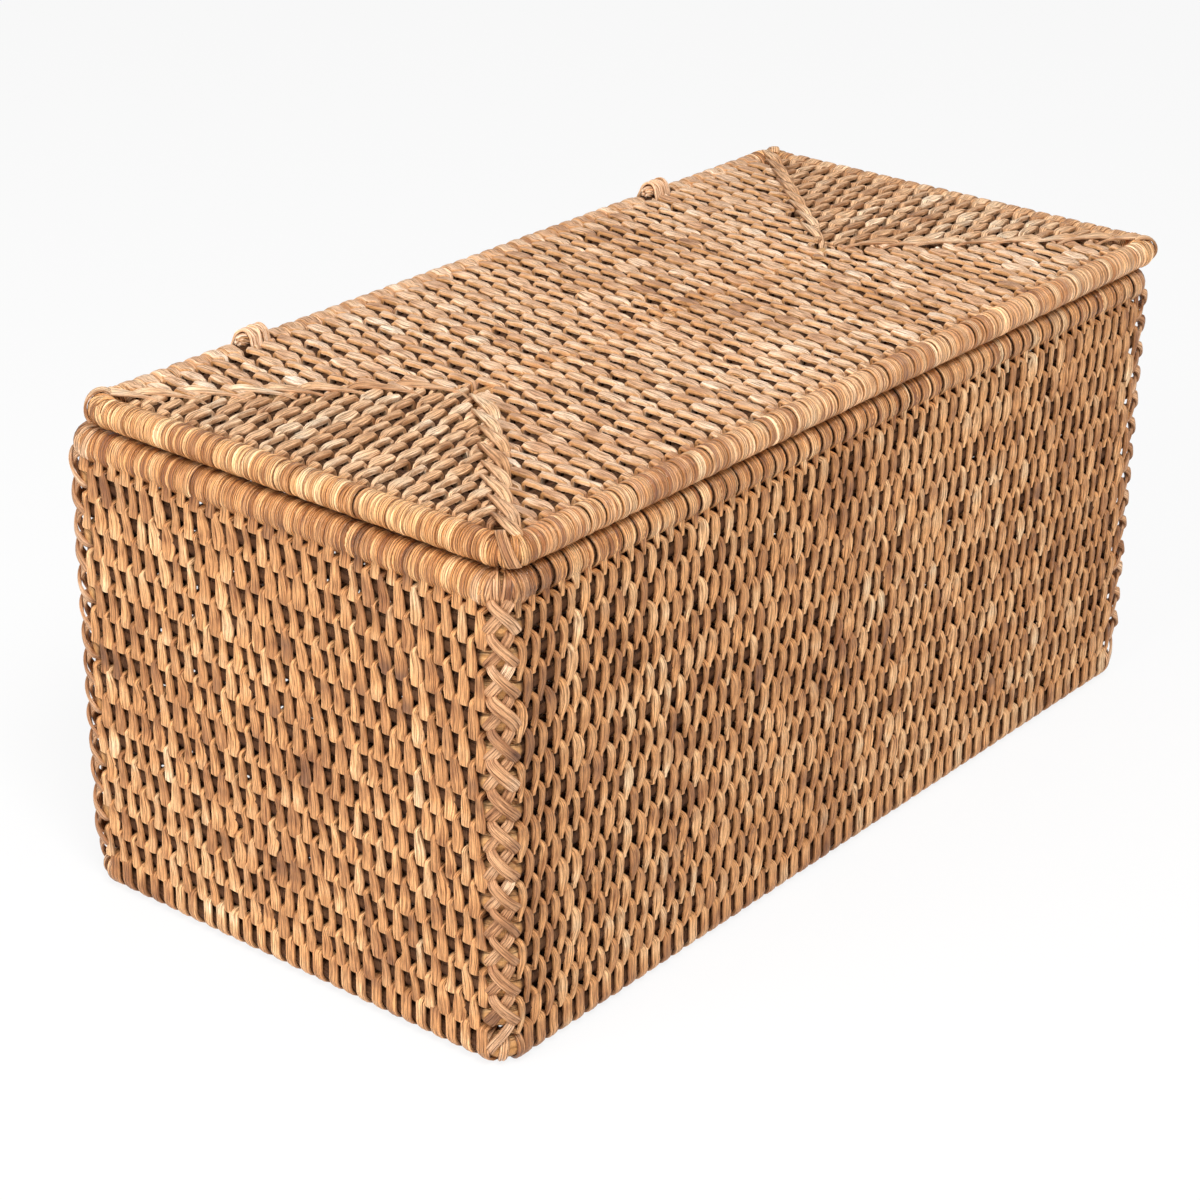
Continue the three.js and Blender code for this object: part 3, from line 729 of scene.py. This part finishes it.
def corner_tie(piece, mat, sx, sy, rng):
    """One bold strip from the end of a seam over the corner of the lid's rim."""
    outwards = np.array([sx, sy, 0]) / math.sqrt(2)
    angle = np.radians(np.linspace(118, -42, 15))
    radius = LID_POLE_RADIUS + 1.5 * STRIP + 0.1 - 0.5 * (np.linspace(-1, 1, 15) ** 4)
    reach = CORNER_RADIUS - LID_POLE_INSET + radius * np.cos(angle)
    side = np.cross(outwards, (0, 0, 1))
    path = mat.corner(sx, sy) + reach[:, None] * outwards + (1.9 * np.sin(angle))[:, None] * side
    path[:, 2] += radius * np.sin(angle)
    section = flat_section(3.3 - 0.6 * np.sin(angle), SEAM_THICKNESS)
    piece.sweep(path, side, section, rng.uniform(0.45, 0.65), shine=0.35)


def hinge_point(angle):
    """Where the middle of the hinge cane runs round both rear poles and the knot: (y, z)."""
    outward = np.array([math.cos(angle), math.sin(angle)])
    cores = ((BACK_POLE, POLE_RADIUS), (LID_BACK_POLE, LID_POLE_RADIUS), (KNOT, KNOT_RADIUS))
    points = [middle + outward * (radius + HINGE_PLAY + HINGE_STRAND / 2) for middle, radius in cores]
    return max(points, key=lambda point: point @ outward)


STRAND_SIDES = 8


def build_hinge_loop(name, x, seed):
    """Three strands side by side, wound round the poles. They lie slack only over the top."""
    piece, rng = new_piece(name, seed)
    steps = 36 * HINGE_TURNS
    width = HINGE_TURNS * HINGE_PITCH
    t = np.arange(steps + 1) / steps
    angle = t * HINGE_TURNS * 2 * math.pi
    line = np.array([hinge_point(value) for value in angle])
    wobble = 0.25 * np.sin(angle * 0.5 + rng.uniform(0, 6))
    outward = np.column_stack([np.zeros(steps + 1), np.cos(angle), np.sin(angle)])
    radius = 0.5 * HINGE_STRAND * (1 + 0.06 * np.sin(angle * 1.7 + 1))
    for strand in (-1, 0, 1):
        sway = 0.2 * np.sin(angle * 2.3 + 2 * strand)
        slack = 0.2 * (1 + np.sin(angle * 0.8 + rng.uniform(0, 6))) * np.clip(np.sin(angle), 0, 1)
        place = BODY_X + x - width / 2 + width * t + wobble + strand * HINGE_STRAND + sway
        path = np.column_stack([place, line]) + slack[:, None] * outward
        side = np.cross(np.gradient(path, axis=0), outward)
        piece.sweep(path, side, round_section(radius, STRAND_SIDES), rng.uniform(0.3, 0.9))
    return piece


def build_hinge_knot(name, x, seed):
    """Six twisted strands inside the top of the winding, that come out at its left end."""
    piece, rng = new_piece(name, seed)
    half = HINGE_TURNS * HINGE_PITCH / 2 + KNOT_OVERHANG
    t = np.linspace(-1, 1, 15)
    for strand in range(KNOT_STRANDS):
        around = strand * 2 * math.pi / KNOT_STRANDS + 1.8 * t
        offset = 1.05 * np.column_stack([np.zeros(15), np.cos(around), np.sin(around)])
        path = np.array([BODY_X + x - 1.5, *KNOT]) + offset
        path[:, 0] += half * t * rng.uniform(0.85, 1.05)
        radius = KNOT_STRAND_RADIUS * (1 - 0.5 * t ** 6) * (1 + 0.05 * rng.normal(size=15))
        piece.sweep(path, (0, -1, 0), round_section(radius, STRAND_SIDES), rng.uniform(0.3, 1))
    return piece


def new_material(name):
    material = bpy.data.materials.new(name)
    material.use_nodes = True
    tree = material.node_tree
    tree.nodes.clear()
    return material, tree


class Graph:
    """Short names for adding and joining the nodes of one material."""

    def __init__(self, tree):
        self.tree = tree

    def node(self, kind, *feeds, named=None, **settings):
        """A new node. Values or other nodes' outputs are fed to its first inputs, or to named ones."""
        node = self.tree.nodes.new(kind)
        for key, value in settings.items():
            setattr(node, key, value)
        for socket, value in zip(node.inputs, feeds):
            self.feed(socket, value)
        for name, value in (named or {}).items():
            self.feed(node.inputs[name], value)
        return node

    def feed(self, socket, value):
        if isinstance(value, bpy.types.NodeSocket):
            self.tree.links.new(value, socket)
        else:
            socket.default_value = value

    def math(self, operation, first, second=0.0):
        return self.node("ShaderNodeMath", first, second, operation=operation).outputs[0]

    def plus(self, first, second):
        return self.math("ADD", first, second)

    def times(self, first, second):
        return self.math("MULTIPLY", first, second)

    def scaled(self, value, low, high, to_low, to_high):
        return self.node("ShaderNodeMapRange", value, low, high, to_low, to_high).outputs[0]

    def parts(self, attribute):
        source = self.node("ShaderNodeAttribute", attribute_name=attribute)
        return self.node("ShaderNodeSeparateXYZ", source.outputs["Vector"]).outputs

    def vector(self, x, y, z):
        return self.node("ShaderNodeCombineXYZ", x, y, z).outputs[0]

    def noise(self, vector, scale, detail=2.0):
        named = {"Vector": vector, "Scale": scale, "Detail": detail}
        return self.node("ShaderNodeTexNoise", named=named).outputs["Fac"]

    def ramp(self, value, stops):
        node = self.node("ShaderNodeValToRGB", value)
        elements = node.color_ramp.elements
        while len(elements) < len(stops):
            elements.new(0.5)
        for element, (position, colour) in zip(elements, stops):
            element.position = position
            element.color = (*colour, 1)
        return node.outputs[0]

    def mix(self, share, first, second, blend="MIX"):
        node = self.node("ShaderNodeMix", share, data_type="RGBA", blend_type=blend)
        self.feed(node.inputs[6], first)
        self.feed(node.inputs[7], second)
        return node.outputs[2]

    def tinted(self, colour, tint):
        return self.mix(1.0, colour, tint, "MULTIPLY")


STRAND_TINTS = ((0.3, (0.6, 0.46, 0.36)), (0.43, (0.95, 0.84, 0.7)), (0.55, (1.1, 1.08, 1.02)),
                (0.68, (1.4, 1.5, 1.6)))
FIBRE_TINTS = ((0.33, (0.38, 0.27, 0.18)), (0.46, (0.96, 0.92, 0.88)), (0.57, (1.14, 1.14, 1.13)),
               (0.66, (1.42, 1.46, 1.48)))
PORE_BROWN = (0.2, 0.08, 0.03, 1)
SPLIT_BROWN = (0.1, 0.045, 0.02, 1)
# Painted shade in the grooves of the rim windings
GROOVE_SHADE_BROWN = (0.1, 0.042, 0.018, 1)
LINE_BROWN = (0.3, 0.15, 0.07, 1)
STAIN_TINT = (0.5, 0.4, 0.38, 1)
# The tints of painted shade on strips and on rods that lie deep inside the weave
SHADE = (0.26, 0.16, 0.1, 1)
ROD_SHADE = (0.07, 0.035, 0.016, 1)


class Cane(Graph):
    """The nodes that all cane and rod shares. They start from what each mesh says of its strands."""

    def __init__(self, tree):
        super().__init__(tree)
        self.across, self.along, self.tone = self.parts("strand")
        self.edge, self.depth, self.shine = self.parts("wear_and_shade")
        self.where = self.node("ShaderNodeTexCoord").outputs["Object"]
        self.seed = self.times(self.tone, 37.0)
        self.mottle = self.noise(self.vector(self.times(self.along, 0.09), self.seed, 0.0), 1.0, 2.0)

    def lengthwise(self, across, along, scale, detail):
        """Noise that follows the strand, stretched by how much is counted across it and along it."""
        place = self.vector(self.times(self.across, across), self.times(self.along, along), self.seed)
        return self.noise(place, scale, detail)

    def base(self, stops, spread):
        """The strand's own tone, mottled along it, and in patches that it shares with its neighbours."""
        stretch = self.node("ShaderNodeMapping", self.where, named={"Scale": (15.0, 15.0, 45.0)})
        patch = self.noise(stretch.outputs[0], 1.0, 4.0)
        level = self.plus(self.scaled(self.tone, 0, 1, 0.5 - 0.2 * spread, 0.5 + 0.2 * spread),
                          self.scaled(self.mottle, 0.3, 0.7, -0.24, 0.24))
        level = self.plus(level, self.scaled(patch, 0.3, 0.7, -0.15, 0.15))
        return self.ramp(level, stops)

    def stranded(self, colour):
        """Narrow strands side by side with dark splits between them, most of all on the polished rims."""
        strands = self.plus(self.times(self.across, 0.72), self.times(self.mottle, 0.9))
        noise = self.noise(self.vector(self.math("FLOOR", strands), self.seed, 0.0), 5.3, 0.0)
        share = self.plus(0.35, self.times(self.shine, 0.65))
        colour = self.mix(share, colour, self.tinted(colour, self.ramp(noise, STRAND_TINTS)))
        split = self.scaled(self.math("PINGPONG", strands, 0.5), 0.0, 0.1, 1.0, 0.0)
        return self.mix(self.times(split, self.times(share, 0.85)), colour, SPLIT_BROWN), split

    def worn_and_shaded(self, colour, stain, core, rim_tint, shade):
        """Stains, the core that shows at a strip's edges, and painted shade in the grooves of the windings
        and deep in the weave.
        """
        stained = self.scaled(self.noise(self.where, 55.0, 4.0), 0.58, 0.75, 0.0, stain)
        colour = self.mix(stained, colour, self.tinted(colour, STAIN_TINT))
        colour = self.mix(self.scaled(self.edge, 0.8, 0.99, 0.0, 0.75), colour, core)
        # Painted shade in the grooves along the middle and the edges of each strip on the rims
        groove_shade = self.plus(self.scaled(self.edge, 0.0, 0.16, 0.8, 0.0),
                           self.scaled(self.edge, 0.84, 0.98, 0.0, 1.0))
        colour = self.mix(self.times(groove_shade, self.times(self.shine, 0.75)), colour, GROOVE_SHADE_BROWN)
        colour = self.mix(self.shine, colour, self.tinted(colour, rim_tint))
        # Painted shade: the deeper a point lies in the weave, the more its colour goes to the shade tint
        return self.mix(self.scaled(self.depth, 0.25, 0.85, 0.0, 0.96), colour, self.tinted(colour, shade))

    def surface(self, colour, roughness, specular, height):
        bump = self.node("ShaderNodeBump", named={"Strength": 0.8, "Distance": 0.0005, "Height": height})
        named = {"Base Color": colour, "Roughness": roughness, "Specular IOR Level": specular}
        shader = self.node("ShaderNodeBsdfPrincipled", named=dict(named, Normal=bump.outputs[0]))
        self.node("ShaderNodeOutputMaterial", shader.outputs[0])


def cane_material(name, stops, core, roughness, stain, rim_tint=(1, 1, 1, 1), specular=0.4, cross_lines=0.0,
                  spread=1.0, shade=SHADE):
    """Split cane or rod, whose surface carries fibres, pores and, on a rod, fine lines across it."""
    material, tree = new_material(name)
    cane = Cane(tree)
    fibre = cane.lengthwise(2.2, 0.12, 1.6, 4.0)
    pore = cane.lengthwise(7.0, 0.9, 1.5, 2.0)
    colour = cane.tinted(cane.base(stops, spread), cane.ramp(fibre, FIBRE_TINTS))
    colour = cane.mix(cane.scaled(pore, 0.56, 0.72, 0.0, 0.6), colour, PORE_BROWN)
    colour, split = cane.stranded(colour)
    colour = cane.worn_and_shaded(colour, stain, core, rim_tint, shade)
    height = cane.math("SUBTRACT", cane.plus(fibre, cane.times(pore, -0.5)), split)
    if cross_lines:
        lines = cane.lengthwise(0.5, 3.2, 1.4, 3.0)
        colour = cane.mix(cane.scaled(lines, 0.56, 0.7, 0.0, cross_lines), colour, LINE_BROWN)
        height = cane.plus(height, cane.times(lines, -0.8))
    rough = cane.scaled(fibre, 0.3, 0.7, roughness + 0.1, roughness - 0.1)
    rough = cane.math("SUBTRACT", rough, cane.times(cane.shine, 0.27))
    cane.surface(colour, rough, specular, height)
    return material


# The tones of each material from its darkest strands to its lightest, and of the core that shows at the edges
WALL_STOPS = ((0.0, (0.2, 0.09, 0.045)), (0.25, (0.5, 0.225, 0.085)), (0.5, (0.76, 0.38, 0.155)),
              (0.75, (0.88, 0.52, 0.26)), (1.0, (0.97, 0.72, 0.46)))
LID_STOPS = ((0.0, (0.36, 0.185, 0.1)), (0.25, (0.63, 0.355, 0.2)), (0.5, (0.85, 0.56, 0.36)),
             (0.75, (0.94, 0.7, 0.51)), (1.0, (0.98, 0.83, 0.67)))
END_STOPS = ((0.0, (0.3, 0.145, 0.075)), (0.25, (0.6, 0.32, 0.155)), (0.5, (0.84, 0.51, 0.285)),
             (0.75, (0.93, 0.66, 0.43)), (1.0, (0.98, 0.81, 0.61)))
LACING_STOPS = ((0.0, (0.22, 0.1, 0.05)), (0.25, (0.46, 0.22, 0.1)), (0.5, (0.66, 0.36, 0.185)),
                (0.75, (0.8, 0.5, 0.3)), (1.0, (0.92, 0.68, 0.47)))
ROD_STOPS = ((0.0, (0.3, 0.14, 0.06)), (0.35, (0.56, 0.3, 0.13)), (0.65, (0.74, 0.45, 0.21)),
             (1.0, (0.86, 0.6, 0.34)))
CORE_ORANGE = (0.74, 0.36, 0.12, 1)
CORE_BROWN = (0.3, 0.13, 0.05, 1)


# The stage, in metres: how far the floor reaches, and how far below the box it lies
FLOOR_REACH = 4
FLOOR_DROP = 0.0002
FLOOR_GREY = (0.85, 0.85, 0.85, 1)
FLOOR_GLOW = 0.85
SKY_LIGHT = 0.55


def seen_directly(graph):
    """One for what the camera sees, also in a mirror or through glass, and zero for light that bounces."""
    rays = graph.node("ShaderNodeLightPath").outputs
    passed = graph.math("MAXIMUM", rays["Is Glossy Ray"], rays["Is Transmission Ray"])
    return graph.math("MAXIMUM", rays["Is Camera Ray"], passed)


def add_floor():
    material, tree = new_material("floor_white")
    graph = Graph(tree)
    diffuse = graph.node("ShaderNodeBsdfDiffuse", FLOOR_GREY)
    glow = graph.node("ShaderNodeEmission")
    share = graph.times(seen_directly(graph), FLOOR_GLOW)
    blend = graph.node("ShaderNodeMixShader", share, diffuse.outputs[0], glow.outputs[0])
    graph.node("ShaderNodeOutputMaterial", blend.outputs[0])
    mesh = bpy.data.meshes.new("floor")
    signs = ((-1, -1), (1, -1), (1, 1), (-1, 1))
    corners = [(FLOOR_REACH * sx, FLOOR_REACH * sy, -FLOOR_DROP) for sx, sy in signs]
    mesh.from_pydata(corners, [], [range(4)])
    mesh.materials.append(material)
    floor = new_object("floor", mesh)


def add_sky():
    """White to the camera, and dimmer as a source of light."""
    world = bpy.data.worlds.new("studio")
    bpy.context.scene.world = world
    world.use_nodes = True
    world.node_tree.nodes.clear()
    graph = Graph(world.node_tree)
    strength = graph.scaled(seen_directly(graph), 0, 1, SKY_LIGHT, 1.0)
    background = graph.node("ShaderNodeBackground", named={"Strength": strength})
    graph.node("ShaderNodeOutputWorld", background.outputs[0])


# Square lamps in metres and watts: name, place, size and power
LAMPS = (("key", (-0.65, -0.8, 1.3), 0.6, 20), ("fill", (-1.4, 0.1, 0.7), 0.8, 11))
LAMP_TARGET = (0, 0, 0.07)


def add_lamp(name, place, size, power):
    lamp = bpy.data.lights.new(name, "AREA")
    lamp.shape = "SQUARE"
    lamp.size = size
    lamp.energy = power
    holder = new_object(name, lamp)
    holder.location = place
    holder.rotation_euler = (Vector(LAMP_TARGET) - Vector(place)).to_track_quat("-Z", "Y").to_euler()


# The camera, fitted to the photograph's outline: its place in mm, and its right, down and forward directions
CAMERA_PLACE = (-628.11, -490.16, 427.7)
CAMERA_AXES = ((0.63206, -0.77484, 0.01007), (-0.32258, -0.27489, -0.90579), (0.70457, 0.5692, -0.42363))
FOCAL_PIXELS = 2988.35
FRAME_PIXELS = 1200
SENSOR = 36.0


def add_camera():
    camera = bpy.data.cameras.new("camera")
    camera.sensor_fit = "HORIZONTAL"
    camera.sensor_width = SENSOR
    camera.lens = FOCAL_PIXELS / FRAME_PIXELS * SENSOR
    camera.clip_start = 0.01
    holder = new_object("camera", camera)
    right, down, forward = (Vector(axis) for axis in CAMERA_AXES)
    turn = Matrix((right, -down, -forward)).transposed()
    holder.matrix_world = Matrix.Translation(Vector(CAMERA_PLACE) * MM) @ turn.to_4x4()
    bpy.context.scene.camera = holder


def build_basket(cane, lacing, rod):
    walls = (("front", 0, -1), ("back", 0, 1), ("left", -1, 0), ("right", 1, 0))
    for seed, (place, x, y) in enumerate(walls):
        length, apart, form = (BODY_WIDTH, BODY_LENGTH, WEDGE) if x else (BODY_LENGTH, BODY_WIDTH, BLADE)
        reach = apart / 2 - WALL_ROD_INSET
        wall = build_wall(f"{place}_wall_cane", (BODY_X + reach * x, reach * y, 0), (x, y, 0), length,
                          place == "back", form, 10 + seed)
        wall.build(cane, "basket", "wall_cane", [f"{place}_wall_weave"])
    rods = [("bottom_pole", POLE_INSET, POLE_INSET, FOOT_RADIUS - WRAP_PLAY, 0)]
    for row in range(WALL_ROWS):
        z = FIRST_ROW_Z + row * WALL_PITCH
        rods.append((f"wall_rod_{row + 1}", z, WALL_ROD_INSET, WALL_ROD_RADIUS, BENT_ROD_SWELL))
    rods.append(("top_rim_pole", TOP_POLE_Z, POLE_INSET, POLE_RADIUS - WRAP_PLAY, 0))
    for seed, (node, z, inset, radius, swell) in enumerate(rods):
        ring = rod_ring(f"{node}_core", (BODY_X, 0, z), BODY_LENGTH / 2, BODY_WIDTH / 2, inset,
                        CORNER_RADIUS - inset, radius, swell, 100 + seed)
        ring.build(rod, "basket", "rattan_rod", [node])
    for seed, (face, sy) in enumerate((("front", -1), ("back", 1))):
        for side, sx in (("left", -1), ("right", 1)):
            piece = build_corner(f"{face}_{side}_lacing_cane", sx, sy, 40 + 2 * seed + (sx > 0))
            piece.build(lacing, "basket", "lacing_cane", [f"{face}_{side}_corner_lacing"])
    mat = Mat(BODY_X, 0, BOTTOM_Z, BOTTOM_LENGTH, BOTTOM_WIDTH, BOTTOM_FIRST_ROD)
    build_mat("bottom", mat, "tuck", cane, cane, rod, "basket", "wall_cane", 60)


def build_mat(prefix, mat, edge, cane, end_cane, rod, body, slot, seed):
    far_edge = "rope" if edge == "wrap" else edge
    middle = build_middle_weave(f"{prefix}_middle_cane", mat, edge, far_edge, edge == "wrap", seed)
    left = build_end_weave(f"{prefix}_left_cane", mat, edge, -1, seed + 1)
    right = build_end_weave(f"{prefix}_right_cane", mat, far_edge, 1, seed + 2)
    if edge == "wrap":
        rng = np.random.default_rng(seed + 3)
        for piece, sx in ((left, -1), (right, 1)):
            for sy in (-1, 1):
                facing = math.atan2(sy, sx)
                rim_fan(piece, mat.corner(sx, sy), facing, LID_POLE_INSET, LID_Z, LID_POLE_RADIUS, rng)
    middle.build(cane, body, slot, [f"{prefix}_weave_middle"])
    left.build(end_cane, body, slot, [f"{prefix}_weave_left"])
    right.build(end_cane, body, slot, [f"{prefix}_weave_right"])
    for ring in range(MAT_RINGS):
        piece = rod_ring(f"{prefix}_ring_{ring + 1}_core", mat.centre, mat.half_x, mat.half_y,
                         mat.inset(ring), MAT_CORNER, MAT_ROD_RADIUS, MAT_ROD_SWELL, seed + 10 + ring)
        piece.build(rod, body, "rattan_rod", [f"{prefix}_rod_ring_{ring + 1}"])
    piece = mat_middle_rod(f"{prefix}_middle_core", mat, seed + 30)
    piece.build(rod, body, "rattan_rod", [f"{prefix}_middle_rod"])


# The lid's seams: place, side in x and y, and the slant, width and lift of their strips
SEAMS = (("front_left", -1, -1, -2.6, 3.4, 1.6), ("front_right", 1, -1, -2.0, 3.2, 1.2),
         ("back_left", -1, 1, 3.4, 3.2, 1.0), ("back_right", 1, 1, -1.6, 3.0, 1.0))


def build_lid(cane, end_cane, hinge, rod):
    mat = Mat(LID_X, LID_Y, LID_Z, LID_LENGTH, LID_WIDTH, LID_FIRST_ROD)
    build_mat("lid", mat, "wrap", cane, end_cane, rod, "lid", "lid_cane", 200)
    pole = rod_ring("lid_rim_pole_core", mat.centre, mat.half_x, mat.half_y, LID_POLE_INSET,
                    CORNER_RADIUS - LID_POLE_INSET, LID_POLE_RADIUS - WRAP_PLAY, 0, 250)
    pole.build(rod, "lid", "rattan_rod", ["lid_rim_pole"])
    for seed, (place, sx, sy, slant, width, lift) in enumerate(SEAMS):
        seam = build_seam(f"{place}_seam_cane", mat, sx, sy, slant, width, lift, 260 + seed)
        seam.build(end_cane, "lid", "lacing_cane", [f"lid_{place}_seam"])
    for seed, (side, x) in enumerate(zip(("left", "right"), HINGE_X)):
        loop = build_hinge_loop(f"{side}_hinge_cane", x, 280 + seed)
        loop.build(hinge, "lid", "hinge_cane", [f"{side}_hinge_loop"])
        knot = build_hinge_knot(f"{side}_hinge_core", x, 290 + seed)
        knot.build(hinge, "lid", "hinge_cane", [f"{side}_hinge_knot"])


wall_cane = cane_material("wall_cane", WALL_STOPS, CORE_BROWN, 0.5, 0.8)
lid_cane = cane_material("lid_cane", LID_STOPS, CORE_ORANGE, 0.48, 0.5, rim_tint=(0.98, 0.84, 0.66, 1))
lid_end_cane = cane_material("lid_end_cane", END_STOPS, CORE_BROWN, 0.48, 0.6, rim_tint=(1, 0.88, 0.7, 1))
lacing_cane = cane_material("lacing_cane", LACING_STOPS, CORE_BROWN, 0.5, 0.8)
hinge_cane = cane_material("hinge_cane", LID_STOPS, CORE_ORANGE, 0.5, 0.4)
core_rod = cane_material("core_rod", ROD_STOPS, CORE_ORANGE, 0.7, 0.7, specular=0.25, cross_lines=0.5,
                         spread=0.5, shade=ROD_SHADE)

build_basket(wall_cane, lacing_cane, core_rod)
build_lid(lid_cane, lid_end_cane, hinge_cane, core_rod)
add_floor()
add_sky()
for lamp in LAMPS:
    add_lamp(*lamp)
add_camera()
bpy.context.scene.view_settings.view_transform = "Standard"
